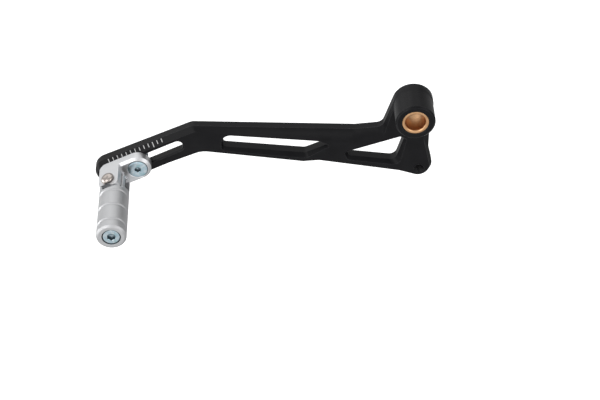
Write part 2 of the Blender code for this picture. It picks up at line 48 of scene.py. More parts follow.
PLATE_FRONT, PLATE_REAR, BEVEL_START, REAR_CHAMFER = -4.0, 4.0, -1.5, 0.6
HUB_RADIUS, HUB_BOSS_RADIUS, HUB_FRONT, HUB_REAR, HUB_CHAMFER = 12.25, 11.9, -19.3, 4.0, 1.0
BUSH_OUTER, BUSH_BORE, BUSH_LENGTH, BUSH_CHAMFER, BUSH_INSET = 7.95, 6.0, 11.0, 0.7, 0.2
BUSH_EXTRA = 0.4            # longer inside than in the CAD, so that the joint between the bushes is fine
LINK_X, LINK_Z, LINK_RADIUS = 5.3, -47.0, 2.95

TIP_ANGLE = math.radians(25.5)
TIP_END_U, TIP_TOP_V, TIP_BOTTOM_V, TIP_END_RADIUS = -194.4, 47.9, 28.6, 9.4
SLOT_V, SLOT_LEFT_U, SLOT_RIGHT_U, SLOT_WIDTH, SLOT_CHAMFER = 37.8, -169.9, -135.9, 6.6, 0.85
COUNTER_WIDTH, COUNTER_OVERRUN_LEFT, COUNTER_OVERRUN_RIGHT = 10.4, 5.0, 2.0
TICKS_FROM_U, TICKS_LENGTH, TICK_PITCH, TICK_WIDTH = -182.0, 36.0, 3.0, 0.5
SHORT_TICK_END, LONG_TICK_END = 2.3, 3.1    # down from the bevel's upper edge
BEVEL_EDGE_DROP = 0.0233    # the bevel's upper edge sinks this much for each mm towards the hub

SCREW_U = -166.3
BRACKET_RADIUS, BRACKET_REAR, BRACKET_FRONT, BRACKET_BEVEL = 8.15, -4.3, -10.6, 1.5
PIN_X, PIN_Y = -15.4, -20.5
EAR_LEFT, EAR_RIGHT, EAR_BACK_CORNER = 6.4, 6.8, 5.2
EAR_REACH, NUB_REACH, NUB_TIP_X, NUB_ROOT_X = 3.9, 6.6, 3.1, 0.9
EAR_INNER, EAR_OUTER, EAR_REAR, EAR_LEFT_CORNER, EAR_RIGHT_CORNER = 4.3, 8.3, -4.6, 2.4, 3.0
EAR_ROOT, LOWER_EAR_RIGHT = 3.0, 5.0
EAR_BACK_LEFT, EAR_BACK_RIGHT, NUB_CORNER = 2.4, 1.0, 0.8
FORK_FLOOR, FORK_RIGHT_X = -8.2, -10.6
BRACKET_END_CORNER, SINK_CLEARANCE, SHANK_HOLE = 2.5, 0.25, 3.2

CLAMP_HEAD_RADIUS, CLAMP_HEAD_TOP, CLAMP_HEAD_DEPTH, CLAMP_HEAD_RIM = 5.8, -11.0, 3.1, 0.45
CLAMP_TIP = 3.3
NUT_HALF_LENGTH, NUT_CORNER, NUT_HALF_WIDTH, NUT_INSET = 5.8, 4.0, 4.85, 0.4
PIN_RADIUS, PIN_HEAD_RADIUS, PIN_HEAD_HEIGHT, PIN_TAIL = 2.5, 4.1, 2.8, 2.6
PIN_HEAD_RIM, PIN_NECK_DEPTH = 0.45, 0.7
CLIP_THICKNESS, CLIP_DROP, CLIP_PLAY, CLIP_OPENING = 0.7, 0.5, 0.15, 34
SPRING_WIRE, SPRING_COIL, SPRING_TURNS, SPRING_PITCH, SPRING_REST_LEG = 0.5, 4.2, 3, 1.15, 11.4

PEG_RADIUS, PEG_LENGTH, PEG_END_CHAMFER, PEG_SWEEP = 9.0, 44.7, 1.3, 8.7
GROOVES, GROOVE_HALF_WIDTH, GROOVE_DEPTH = (11.1, 24.4, 37.7), 1.2, 0.6
KNUCKLE_RADIUS, KNUCKLE_HALF, SHOULDER_REACH, CHEEK_REACH = 7.2, 3.9, 7.1, 4.7
CHEEK_CORNER = 2.4          # rounds the knuckle's corners, which are square in the CAD
SPRING_SLOT_HALF, SPRING_SLOT_FLOOR = 2.5, 5.6
COUNTERBORE_RADIUS, COUNTERBORE_DEPTH, END_HOLE_RADIUS = 5.6, 5.7, 2.95
END_HEAD_RADIUS, END_HEAD_HEIGHT, END_SHANK = 5.25, 5.0, 11.0
KNURLS, KNURL_DEPTH = 72, 0.14
BEYOND = 14                 # far enough for a cutter to pass right through the peg or the bracket


def tip_point(u, v):
    """A point (x, z) given along and across the arm's tip."""
    return (u * math.cos(TIP_ANGLE) - v * math.sin(TIP_ANGLE),
            u * math.sin(TIP_ANGLE) + v * math.cos(TIP_ANGLE))


# Places: matrices from a group's own frame in millimetres to the row's frame in metres.
SCREW_X, SCREW_Z = tip_point(SCREW_U, SLOT_V)
IN_ROW = Matrix.Diagonal((MM, MM, MM, 1.0))
AT_LINK = IN_ROW @ Matrix.Translation((LINK_X, 0, LINK_Z))
IN_BRACKET = IN_ROW @ Matrix.Translation((SCREW_X, 0, SCREW_Z)) @ Matrix.Rotation(-TIP_ANGLE, 4, "Y")
ON_FOLD_AXIS = IN_BRACKET @ Matrix.Translation((PIN_X, PIN_Y, 0))


# ---------------------------------------------------------------- outlines

def arc(centre, radius, start, end, steps):
    """Points on an arc, angles in degrees, both ends included."""
    points = []
    for i in range(steps + 1):
        angle = math.radians(start + (end - start) * i / steps)
        points.append((centre[0] + radius * math.cos(angle), centre[1] + radius * math.sin(angle)))
    return points


def rounded(corners, closed=True, steps=14):
    """Round each (x, z, radius) corner of a polygon; an open run keeps its end points."""
    count = len(corners)
    points = []
    for i, (x, z, radius) in enumerate(corners):
        if not closed and i in (0, count - 1):
            points.append((x, z))
            continue
        here = Vector((x, z))
        back = (Vector(corners[i - 1][:2]) - here).normalized()
        ahead = (Vector(corners[(i + 1) % count][:2]) - here).normalized()
        half = back.angle(ahead) / 2
        centre = here + (back + ahead).normalized() * radius / math.sin(half)
        start = here + back * radius / math.tan(half) - centre
        end = here + ahead * radius / math.tan(half) - centre
        sweep = start.angle_signed(end)
        for j in range(steps + 1):
            turn = -sweep * j / steps
            c, s = math.cos(turn), math.sin(turn)
            points.append((centre.x + start.x * c - start.y * s, centre.y + start.x * s + start.y * c))
    return points


def offset(outline, depth):
    """Move an outline along its vertex normals; a positive depth shrinks a clockwise outline."""
    count = len(outline)
    points = []
    for i in range(count):
        before, here, after = (Vector(outline[(i + k) % count]) for k in (-1, 0, 1))
        one = here - before
        two = after - here
        one = one.normalized() if one.length > 1e-9 else two.normalized()
        two = two.normalized() if two.length > 1e-9 else one
        along = (one + two).normalized()
        points.append((here.x + along.y * depth, here.y - along.x * depth))
    return points


# ---------------------------------------------------------------- mesh helpers

def finish_mesh(name, bm, place, material=None):
    """Turn a bmesh in millimetres into an object in metres in the row's frame."""
    bmesh.ops.remove_doubles(bm, verts=bm.verts, dist=1e-5)
    bmesh.ops.recalc_face_normals(bm, faces=bm.faces)
    bmesh.ops.transform(bm, matrix=place, verts=bm.verts)
    mesh = bpy.data.meshes.new(name)
    bm.to_mesh(mesh)
    bm.free()
    obj = bpy.data.objects.new(name, mesh)
    bpy.context.scene.collection.objects.link(obj)
    if material is not None:
        mesh.materials.append(material)
    return obj


def skin(bm, rings):
    """Close a run of vertex rings of equal length: both ends, and quads between neighbours."""
    bm.faces.new(rings[0])
    bm.faces.new(reversed(rings[-1]))
    count = len(rings[0])
    for near, far in zip(rings, rings[1:]):
        for i in range(count):
            j = (i + 1) % count
            bm.faces.new((near[i], near[j], far[j], far[i]))


def loft(name, sections, place=IN_ROW, material=None):
    """Skin through outlines of equal length; sections are (depth along Y, outline in XZ)."""
    bm = bmesh.new()
    skin(bm, [[bm.verts.new((x, depth, z)) for x, z in outline] for depth, outline in sections])
    return finish_mesh(name, bm, place, material)


def slab(name, outline, low, high, place=IN_BRACKET, material=None):
    """Extrude an outline given in the XY plane from one height to another."""
    bm = bmesh.new()
    skin(bm, [[bm.verts.new((x, y, height)) for x, y in outline] for height in (low, high)])
    return finish_mesh(name, bm, place, material)


def turned(name, profile, place=IN_ROW, material=None, axis="Y", closed=False, steps=128):
    """Turn a profile of (radius, position) round the Y or the Z axis; a radius of 0 is one point.

    The rings are made here one by one, because a bmesh spin orders its points anew on each run.
    """
    bm = bmesh.new()
    rings = []
    for radius, along in profile:
        ring = []
        for k in range(steps if radius > 0 else 1):
            x, across = radius * math.cos(math.tau * k / steps), radius * math.sin(math.tau * k / steps)
            ring.append(bm.verts.new((x, along, across) if axis == "Y" else (x, across, along)))
        rings.append(ring)
    pairs = list(zip(rings, rings[1:]))
    if closed:
        pairs.append((rings[-1], rings[0]))
    for near, far in pairs:
        for k in range(steps):
            corners = [ring[i % len(ring)] for ring, i in
                       ((near, k), (near, (k + 1) % steps), (far, (k + 1) % steps), (far, k))]
            bm.faces.new(tuple(dict.fromkeys(corners)))
    return finish_mesh(name, bm, place, material)


def block(name, low, high, place):
    """A box between two corners."""
    bm = bmesh.new()
    bmesh.ops.create_cube(bm, size=1.0)
    bmesh.ops.scale(bm, vec=Vector(high) - Vector(low), verts=bm.verts)
    bmesh.ops.translate(bm, vec=(Vector(high) + Vector(low)) / 2, verts=bm.verts)
    return finish_mesh(name, bm, place)


def combine(target, tool, operation="DIFFERENCE"):
    """Apply an exact Boolean to the target and remove the tool."""
    mod = target.modifiers.new(tool.name, "BOOLEAN")
    mod.operation = operation
    mod.solver = "EXACT"
    mod.object = tool
    apply_modifiers(target)
    bpy.data.objects.remove(tool, do_unlink=True)


def apply_modifiers(obj):
    """Replace the object's mesh by its evaluated one."""
    graph = bpy.context.evaluated_depsgraph_get()
    mesh = bpy.data.meshes.new_from_object(obj.evaluated_get(graph), depsgraph=graph)
    old = obj.data
    obj.modifiers.clear()
    obj.data = mesh
    bpy.data.meshes.remove(old)


# Degrees between two faces: an edge is bevelled or kept sharp over these, and dissolved under one.
BEVEL_OVER, SHARP_OVER, FLAT_UNDER = 25.0, 30.0, 0.4
TURNED_SHARP, SMALL_SHARP, COARSE_SHARP = 32.0, 40.0, 50.0
WELD = 2e-6                                             # metres


def soften(obj, width, segments=2):
    """Break the sharp edges with a small rounded bevel and shade smooth between them."""
    bm = bmesh.new()
    bm.from_mesh(obj.data)
    bmesh.ops.remove_doubles(bm, verts=bm.verts, dist=WELD)
    bmesh.ops.dissolve_degenerate(bm, edges=bm.edges, dist=WELD)
    bmesh.ops.dissolve_limit(bm, angle_limit=math.radians(FLAT_UNDER), verts=bm.verts, edges=bm.edges,
                             delimit={"MATERIAL"})
    bm.to_mesh(obj.data)
    bm.free()
    mod = obj.modifiers.new("edges", "BEVEL")
    mod.width = width * MM
    mod.segments = segments
    mod.limit_method = "ANGLE"
    mod.angle_limit = math.radians(BEVEL_OVER)
    mod.use_clamp_overlap = True
    mod.miter_outer = "MITER_ARC"
    mod.harden_normals = False
    apply_modifiers(obj)
    smooth_by_angle(obj, SHARP_OVER)
    weighted = obj.modifiers.new("normals", "WEIGHTED_NORMAL")
    weighted.keep_sharp = True
    weighted.weight = 80


def smooth_by_angle(obj, angle):
    """Shade smooth, with edges over the angle kept sharp."""
    obj.data.shade_smooth()
    obj.data.set_sharp_from_angle(angle=math.radians(angle))


def place_piece(obj, body, slot, *nodes):
    """Ride on a body and stand for CAD nodes; the slot is not used."""
    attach(obj, body)
    if nodes:
        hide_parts(*nodes)


# ---------------------------------------------------------------- materials

PIVOT, ALONG_Y = (0, 0, 0), (0, 1, 0)
BRACKET_ORIGIN = tuple(IN_BRACKET.translation)
PIN_ORIGIN = tuple(ON_FOLD_AXIS.translation)
ALONG_PIN = tuple((IN_BRACKET.to_3x3() @ Vector((0, 0, 1))).normalized())


class Nodes:
    """A short way to build a node tree round a Principled shader."""

    def __init__(self, name):
        self.material = bpy.data.materials.new(name)
        self.material.use_nodes = True
        self.tree = self.material.node_tree
        self.shader = self.tree.nodes["Principled BSDF"]

    def add(self, kind, **settings):
        node = self.tree.nodes.new(kind)
        for key, value in settings.items():
            setattr(node, key, value)
        return node

    def link(self, output, target):
        self.tree.links.new(output, target)

    def coordinates(self):
        return self.add("ShaderNodeTexCoord").outputs["Object"]

    def noise(self, vector, scale, detail=3.0, roughness=0.55):
        node = self.add("ShaderNodeTexNoise")
        node.inputs["Scale"].default_value = scale
        node.inputs["Detail"].default_value = detail
        node.inputs["Roughness"].default_value = roughness
        self.link(vector, node.inputs["Vector"])
        return node.outputs["Fac"]

    def math(self, operation, one, two=None, clamp=False):
        node = self.add("ShaderNodeMath", operation=operation, use_clamp=clamp)
        for socket, value in zip(node.inputs, (one, two)):
            if value is None:
                continue
            if isinstance(value, (int, float)):
                socket.default_value = value
            else:
                self.link(value, socket)
        return node.outputs["Value"]

    def remap(self, value, low, high, to_low, to_high):
        node = self.add("ShaderNodeMapRange", clamp=True)
        keys = ("From Min", "From Max", "To Min", "To Max")
        for key, number in zip(keys, (low, high, to_low, to_high)):
            node.inputs[key].default_value = number
        self.link(value, node.inputs["Value"])
        return node.outputs["Result"]

    def mix(self, factor, one, two):
        """Mix two colours by an output; each is a colour or an output."""
        node = self.add("ShaderNodeMix", data_type="RGBA")
        self.link(factor, node.inputs["Factor"])
        first_color, second_color = node.inputs[6], node.inputs[7]
        for socket, value in ((first_color, one), (second_color, two)):
            if isinstance(value, tuple):
                socket.default_value = (*value, 1.0)
            else:
                self.link(value, socket)
        color_result = node.outputs[2]
        return color_result

    def bump(self, height, strength, distance, normal=None):
        node = self.add("ShaderNodeBump")
        node.inputs["Strength"].default_value = strength
        node.inputs["Distance"].default_value = distance
        self.link(height, node.inputs["Height"])
        if normal is not None:
            self.link(normal, node.inputs["Normal"])
        return node.outputs["Normal"]

    def edges(self, radius):
        """1 on sharp edges, 0 on flat surfaces."""
        rounded_normal = self.add("ShaderNodeBevel", samples=4)
        rounded_normal.inputs["Radius"].default_value = radius * MM
        true_normal = self.add("ShaderNodeNewGeometry").outputs["Normal"]
        dot = self.add("ShaderNodeVectorMath", operation="DOT_PRODUCT")
        self.link(rounded_normal.outputs["Normal"], dot.inputs[0])
        self.link(true_normal, dot.inputs[1])
        flat_over, sharp_under = 0.97, 0.80
        return self.remap(dot.outputs["Value"], flat_over, sharp_under, 0.0, 1.0)

    def rings(self, vector, centre, axis, pitch):
        """Fine turning marks: rings round an axis through a centre, in metres."""
        away = self.add("ShaderNodeVectorMath", operation="SUBTRACT")
        self.link(vector, away.inputs[0])
        away.inputs[1].default_value = centre
        cross = self.add("ShaderNodeVectorMath", operation="CROSS_PRODUCT")
        self.link(away.outputs["Vector"], cross.inputs[0])
        cross.inputs[1].default_value = axis
        length = self.add("ShaderNodeVectorMath", operation="LENGTH")
        self.link(cross.outputs["Vector"], length.inputs[0])
        dot = self.add("ShaderNodeVectorMath", operation="DOT_PRODUCT")
        self.link(away.outputs["Vector"], dot.inputs[0])
        dot.inputs[1].default_value = axis
        both = self.add("ShaderNodeCombineXYZ")
        self.link(length.outputs["Value"], both.inputs["X"])
        self.link(dot.outputs["Value"], both.inputs["Y"])
        return self.noise(both.outputs["Vector"], 1.0 / (pitch * MM), 2.0, 0.4)

    def finish(self, color, roughness, metallic, normal=None, specular=0.5):
        """Connect the surface to the shader; the colour is an output, the roughness may be a number."""
        inputs = self.shader.inputs
        self.link(color, inputs["Base Color"])
        if isinstance(roughness, (int, float)):
            inputs["Roughness"].default_value = roughness
        else:
            self.link(roughness, inputs["Roughness"])
        inputs["Metallic"].default_value = metallic
        inputs["Specular IOR Level"].default_value = specular
        if normal is not None:
            self.link(normal, inputs["Normal"])
        return self.material


def tick_marks(n, where):
    """White graduation ticks on the tip's top bevel, longer at every fifth, as a mask."""
    split = n.add("ShaderNodeSeparateXYZ")
    n.link(where, split.inputs[0])
    x, y, z = (split.outputs[key] for key in "XYZ")
    cos, sin = math.cos(TIP_ANGLE) / MM, math.sin(TIP_ANGLE) / MM
    u = n.math("ADD", n.math("MULTIPLY", x, cos), n.math("MULTIPLY", z, sin))
    v = n.math("SUBTRACT", n.math("MULTIPLY", z, cos), n.math("MULTIPLY", x, sin))
    depth = n.math("MULTIPLY", y, 1.0 / MM)
    along = n.math("SUBTRACT", u, TICKS_FROM_U)
    from_tip = n.math("ADD", along, TICKS_FROM_U - TIP_END_U)
    v = n.math("ADD", v, n.math("MULTIPLY", from_tip, BEVEL_EDGE_DROP))
    fine = n.math("LESS_THAN", n.math("PINGPONG", along, TICK_PITCH / 2), TICK_WIDTH / 2)
    fifth = n.math("LESS_THAN", n.math("PINGPONG", along, TICK_PITCH * 2.5), TICK_WIDTH)
    short = n.math("MULTIPLY", fine, n.math("GREATER_THAN", v, TIP_TOP_V - SHORT_TICK_END))
    both = n.math("MAXIMUM", short, n.math("MULTIPLY", fifth, fine))
    clear_of_edge = 0.35
    limits = (n.math("GREATER_THAN", along, -TICK_WIDTH),
              n.math("LESS_THAN", along, TICKS_LENGTH + TICK_WIDTH),
              n.math("GREATER_THAN", v, TIP_TOP_V - LONG_TICK_END),
              n.math("LESS_THAN", depth, BEVEL_START - clear_of_edge))
    for limit in limits:
        both = n.math("MULTIPLY", both, limit)
    return both


def black_anodised(name, turned_face=False):
    """Satin black anodised aluminium: fine blasted grain, greyer on sharp edges, partly where the
    anodise is worn thin and partly as a painted highlight.

    The turned face has turning marks round the pivot, and the rest has the tick marks.
    """
    n = Nodes(name)
    where = n.coordinates()
    grain = n.noise(where, 5200.0, 2.0)
    cloud = n.noise(where, 90.0, 4.0)
    darker, lighter = (0.0032, 0.0032, 0.0040), (0.0056, 0.0056, 0.0066)
    worn_and_highlight_grey, paint_white = (0.058, 0.058, 0.062), (0.46, 0.46, 0.46)
    tone = n.mix(n.remap(cloud, 0.3, 0.7, 0.0, 1.0), darker, lighter)
    # Sharp edges turn grey: partly worn anodise, partly a painted edge highlight.
    edge = n.edges(0.45)
    edge_wear_and_highlight = n.math("MULTIPLY", edge, n.remap(n.noise(where, 700.0, 3.0), 0.35, 0.65, 0.45, 1.0))
    color = n.mix(edge_wear_and_highlight, tone, worn_and_highlight_grey)
    rough = n.math("ADD", n.remap(cloud, 0.3, 0.7, 0.30, 0.37),
                   n.remap(grain, 0.3, 0.7, -0.03, 0.03))
    if not turned_face:
        worn_mark = n.remap(n.noise(where, 1800.0, 3.0), 0.30, 0.45, 0.6, 1.0)
        color = n.mix(n.math("MULTIPLY", tick_marks(n, where), worn_mark), color, paint_white)
    normal = n.bump(grain, 0.10, 0.00006)
    if turned_face:
        lines = n.rings(where, PIVOT, ALONG_Y, 0.16)
        normal = n.bump(lines, 0.22, 0.00004, normal)
        rough = n.math("ADD", rough, n.remap(lines, 0.3, 0.7, -0.07, 0.05))
    return n.finish(color, rough, 0.0, normal, specular=0.12)


def silver_anodised(name, tint, roughness, centre=None, axis=None):
    """Clear anodised, blasted aluminium; with a centre and an axis it also shows turning marks."""
    n = Nodes(name)
    where = n.coordinates()
    grain = n.noise(where, 4200.0, 2.0)
    cloud = n.noise(where, 130.0, 4.0)
    dark = tuple(c * 0.93 for c in tint)
    tone = n.mix(n.remap(cloud, 0.3, 0.7, 0.0, 1.0), dark, tint)
    # Painted highlight: sharp edges get a lighter colour; they are also made less rough.
    edge = n.edges(0.30)
    color = n.mix(edge, tone, tuple(min(0.85, c * 1.25) for c in tint))
    rough = n.math("ADD", n.remap(cloud, 0.3, 0.7, roughness - 0.04, roughness + 0.04),
                   n.remap(grain, 0.3, 0.7, -0.04, 0.04))
    rough = n.math("SUBTRACT", rough, n.math("MULTIPLY", edge, 0.12), clamp=True)
    normal = n.bump(grain, 0.14, 0.00005)
    if centre is not None:
        lines = n.rings(where, centre, axis, 0.22)
        normal = n.bump(lines, 0.16, 0.00003, normal)
    return n.finish(color, rough, 1.0, normal)


def bronze(name):
    """Sintered bronze: open pores and faint turning marks."""
    n = Nodes(name)
    where = n.coordinates()
    pores = n.remap(n.noise(where, 3000.0, 4.0, 0.7), 0.34, 0.48, 1.0, 0.0)
    cloud = n.noise(where, 260.0, 3.0)
    tone = n.mix(n.remap(cloud, 0.3, 0.7, 0.0, 1.0), (0.56, 0.325, 0.165), (0.68, 0.405, 0.22))
    color = n.mix(n.math("MULTIPLY", pores, 0.35), tone, (0.20, 0.09, 0.04))
    rough = n.remap(cloud, 0.3, 0.7, 0.30, 0.42)
    lines = n.rings(where, PIVOT, ALONG_Y, 0.14)
    normal = n.bump(lines, 0.2, 0.00003)
    normal = n.bump(pores, -0.3, 0.00003, normal)
    return n.finish(color, rough, 1.0, normal)


def zinc(name, centre, light, roughness):
    """Blue passivated zinc plate with its faint coloured bloom, turned round an axis along Y."""
    n = Nodes(name)
    where = n.coordinates()
    bloom = n.noise(where, 520.0, 2.0)
    second = n.noise(where, 340.0, 2.0, 0.4)
    blue, pale, teal = (tuple(c * light for c in tone)
                        for tone in ((0.42, 0.54, 0.61), (0.56, 0.64, 0.68), (0.26, 0.48, 0.50)))
    color = n.mix(n.remap(bloom, 0.42, 0.62, 0.0, 1.0), blue, pale)
    color = n.mix(n.remap(second, 0.56, 0.68, 0.0, 0.55), color, teal)
    rough = n.remap(n.noise(where, 2600.0, 3.0), 0.3, 0.7, roughness - 0.07, roughness + 0.07)
    lines = n.rings(where, centre, ALONG_Y, 0.18)
    normal = n.bump(lines, 0.12, 0.00003)
    return n.finish(color, rough, 1.0, normal)


def stainless(name, centre, axis):
    """Bright turned stainless steel, slightly warm."""
    n = Nodes(name)
    where = n.coordinates()
    lines = n.rings(where, centre, axis, 0.12)
    tone = n.mix(n.remap(lines, 0.3, 0.7, 0.0, 1.0), (0.40, 0.355, 0.33), (0.52, 0.47, 0.44))
    rough = n.remap(n.noise(where, 1500.0, 3.0), 0.3, 0.7, 0.16, 0.27)
    return n.finish(tone, rough, 1.0, n.bump(lines, 0.2, 0.00003))


def spring_wire(name):
    """Oil-tempered spring wire."""
    n = Nodes(name)
    where = n.coordinates()
    spots = n.noise(where, 900.0, 4.0)
    color = n.mix(n.remap(spots, 0.35, 0.65, 0.0, 1.0), (0.16, 0.10, 0.065), (0.32, 0.24, 0.18))
    rough = n.remap(spots, 0.35, 0.65, 0.30, 0.46)
    return n.finish(color, rough, 1.0, n.bump(spots, 0.2, 0.00003))


arm_black = black_anodised("arm_black")
hub_face_black = black_anodised("hub_face_black", turned_face=True)
bracket_silver = silver_anodised("bracket_silver", (0.66, 0.665, 0.68), 0.42)
peg_silver = silver_anodised("peg_silver", (0.55, 0.555, 0.565), 0.50, PIN_ORIGIN, ALONG_Y)
bush_bronze = bronze("bush_bronze")
clamp_zinc = zinc("clamp_zinc", BRACKET_ORIGIN, 1.05, 0.36)
end_zinc = zinc("end_zinc", PIN_ORIGIN, 1.0, 0.2)
# Painted shade: a darker copy of the zinc for the walls and floor of the sockets.
socket_shade_zinc = zinc("socket_shade_zinc", BRACKET_ORIGIN, 0.5, 0.34)
nut_steel = zinc("nut_steel", BRACKET_ORIGIN, 0.35, 0.5)
pin_stainless = stainless("pin_stainless", PIN_ORIGIN, ALONG_PIN)
wire_dark = spring_wire("wire_dark")


def thread(name, start, end, major, depth, place, material):
    """A rod along Y with a helical thread cut in it, and a chamfer at its end."""
    pitch, rows_per_pitch, steps = 1.0, 8, 64
    groove_width, flank_slope, chamfer = 1.25, 3.2, 1.2
    rows = int(abs(end - start) / pitch * rows_per_pitch)
    sign = 1 if end > start else -1
    bm = bmesh.new()
    rings = []
    for i in range(rows + 1):
        y = start + (end - start) * i / rows
        from_end = abs(end - y)
        ring = []
        for k in range(steps):
            phase = (y * sign / pitch + k / steps) % 1.0
            cut = min(1.0, max(0.0, groove_width - abs(phase - 0.5) * flank_slope))
            r = major - depth * cut
            r = min(r, major - depth * chamfer + from_end)
            a = math.tau * k / steps
            ring.append(bm.verts.new((r * math.cos(a), y, r * math.sin(a))))
        rings.append(ring)
    skin(bm, rings)
    return finish_mesh(name, bm, place, material)


# ---------------------------------------------------------------- lever arm

HUB_STEPS = 96


def arm_outline():
    """The plate's full outline, clockwise from the tip."""
    hub_from, hub_to = 161.3, -30.0
    upper = [(*tip_point(TIP_END_U + 20, TIP_BOTTOM_V), 0),
             (*tip_point(TIP_END_U, TIP_BOTTOM_V), TIP_END_RADIUS),
             (*tip_point(TIP_END_U, TIP_TOP_V), TIP_END_RADIUS),
             (-132.9, -12.1, 8.0),
             (-34.5, -16.9, 12.0),
             (-18.0, -15.5, 5.0),
             (-11.61, 3.92, 0)]
    lower = [(10.6, -6.12, 0),
             (10.6, -32.2, 10.0),
             (16.3, -56.9, 8.3),
             (-6.5, -48.9, 14.0),
             (-56.3, -39.2, 6.0),
             (-66.0, -39.9, 6.0),
             (-127.6, -30.2, 14.0),
             (*tip_point(TIP_END_U + 45, TIP_BOTTOM_V + 0.1), 0)]
    hub = arc((0, 0), HUB_RADIUS, hub_from, hub_to, HUB_STEPS)[1:-1]
    return rounded(upper, closed=False) + hub + rounded(lower, closed=False)


def arm_face():
    """The same outline on the front face, inside the bevels."""
    hub_from, hub_to = 161.3, -49.4
    tip_inset, bottom_inset, top_inset = 1.2, 0.5, 3.5
    upper = [(*tip_point(TIP_END_U + 20, TIP_BOTTOM_V + bottom_inset), 0),
             (*tip_point(TIP_END_U + tip_inset, TIP_BOTTOM_V + bottom_inset), TIP_END_RADIUS - 1.3),
             (*tip_point(TIP_END_U + tip_inset, TIP_TOP_V - top_inset), TIP_END_RADIUS - top_inset),
             (-131.0, -14.75, 5.0),
             (-35.6, -25.4, 4.0),
             (-17.2, -20.2, 3.0),
             (-10.67, 3.6, 0)]
    lower = [(7.2, -8.4, 0),
             (7.2, -24.5, 10.0),
             (14.0, -55.2, 6.8),
             (-6.7, -48.0, 14.0),
             (-56.2, -38.6, 6.0),
             (-66.0, -39.2, 6.0),
             (-127.5, -29.6, 14.0),
             (*tip_point(TIP_END_U + 45, TIP_BOTTOM_V + 0.6), 0)]
    hub = arc((0, 0), HUB_RADIUS - HUB_CHAMFER, hub_from, hub_to, HUB_STEPS)[1:-1]
    return rounded(upper, closed=False) + hub + rounded(lower, closed=False)


# Each window's corners (x, z, radius), first at the straight wall and then at the front face.
WINDOWS = (
    (((-114.4, -18.5, 5.0), (-57.6, -24.7, 1.8), (-49.7, -27.6, 1.2), (-64.6, -34.2, 4.0),
      (-114.4, -28.1, 2.0)),
     ((-115.5, -17.7, 5.6), (-56.8, -24.0, 2.2), (-48.6, -27.8, 1.4), (-64.0, -36.9, 5.0),
      (-115.5, -29.6, 2.6))),
    (((-39.2, -33.0, 1.2), (-7.6, -22.6, 2.0), (-4.6, -24.6, 1.6), (-9.4, -41.3, 4.6),
      (-38.0, -37.2, 1.6)),
     ((-41.2, -33.1, 1.8), (-6.9, -21.7, 2.6), (-2.9, -23.8, 2.0), (-6.7, -43.9, 5.0),
      (-38.7, -39.0, 2.2))),
)


def window_cutter(wall, face):
    """A straight-walled window that flares out at the front face."""
    wall_outline = rounded(wall, steps=12)
    face_outline = rounded(face, steps=12)
    beyond = 0.2                # the slope goes on past the face by this share of itself
    slope = [tuple(Vector(f) + (Vector(f) - Vector(w)) * beyond)
             for w, f in zip(wall_outline, face_outline)]
    over = (PLATE_FRONT - BEVEL_START) * beyond
    return loft("window_cutter", [(PLATE_FRONT + over, slope), (BEVEL_START, wall_outline),
                                  (PLATE_REAR + 1, wall_outline)])


def slot_outline(left, right, half_width):
    """A slot with round ends along the tip, in the XZ plane."""
    tilt, steps = math.degrees(TIP_ANGLE), 28
    return (arc(tip_point(right - half_width, SLOT_V), half_width, tilt + 90, tilt - 90, steps)
            + arc(tip_point(left + half_width, SLOT_V), half_width, tilt - 90, tilt - 270, steps))


def make_arm():
    """The milled arm with its hub, bore, threaded link hole, windows and clamp slot."""
    outline = arm_outline()
    rear = offset(outline, REAR_CHAMFER)
    arm = loft("arm", [(PLATE_FRONT, arm_face()), (BEVEL_START, outline),
                       (PLATE_REAR - REAR_CHAMFER, outline), (PLATE_REAR, rear)])
    combine(arm, turned("hub_form", [
        (0, 1.0), (HUB_BOSS_RADIUS, 1.0), (HUB_BOSS_RADIUS, HUB_FRONT + HUB_CHAMFER),
        (HUB_BOSS_RADIUS - HUB_CHAMFER, HUB_FRONT), (0, HUB_FRONT)], steps=160), "UNION")
    bore, ease = BUSH_OUTER + 0.05, 0.4
    combine(arm, turned("bore_cutter", [
        (0, HUB_REAR + 1), (bore + ease + 1, HUB_REAR + 1), (bore + ease, HUB_REAR),
        (bore, HUB_REAR - ease), (bore, HUB_FRONT + ease), (bore + ease, HUB_FRONT),
        (bore + ease + 1, HUB_FRONT - 1), (0, HUB_FRONT - 1)], steps=128))
    mouth, mouth_depth, run_out = LINK_RADIUS + 0.35, 0.73, 0.6
    for plane, way in ((PLATE_FRONT, -1), (PLATE_REAR, 1)):
        floor = plane - way * mouth_depth
        combine(arm, turned("link_mouth", [
            (0, plane + way), (mouth + 1, plane + way), (mouth, plane),
            (mouth - mouth_depth, floor), (0, floor)], AT_LINK, steps=56))
    combine(arm, thread("link_thread", PLATE_FRONT - run_out, PLATE_REAR + run_out, LINK_RADIUS, 0.42,
                        AT_LINK, arm_black))
    for wall, face in WINDOWS:
        combine(arm, window_cutter(wall, face))
    half = SLOT_WIDTH / 2
    wide = SLOT_CHAMFER + 0.3
    straight = slot_outline(SLOT_LEFT_U, SLOT_RIGHT_U, half)
    combine(arm, loft("slot_cutter", [
        (PLATE_FRONT - 0.3, slot_outline(SLOT_LEFT_U - wide, SLOT_RIGHT_U + wide, half + wide)),
        (PLATE_FRONT + SLOT_CHAMFER, straight), (1.0, straight)]))
    counter = slot_outline(SLOT_LEFT_U - COUNTER_OVERRUN_LEFT, SLOT_RIGHT_U + COUNTER_OVERRUN_RIGHT,
                           COUNTER_WIDTH / 2)
    combine(arm, loft("counter_cutter", [(0.0, counter), (PLATE_REAR + 1, counter)]))
    arm.data.materials.clear()
    arm.data.materials.append(arm_black)
    arm.data.materials.append(hub_face_black)
    for face in arm.data.polygons:
        near_hub = face.center.xz.length < (HUB_BOSS_RADIUS + 0.05) * MM
        on_boss = near_hub and face.center.y < (PLATE_FRONT - 0.2) * MM
        face.material_index = 1 if on_boss else 0
    soften(arm, 0.16, 2)
    place_piece(arm, "lever", "arm_black_anodised", "lever_arm")


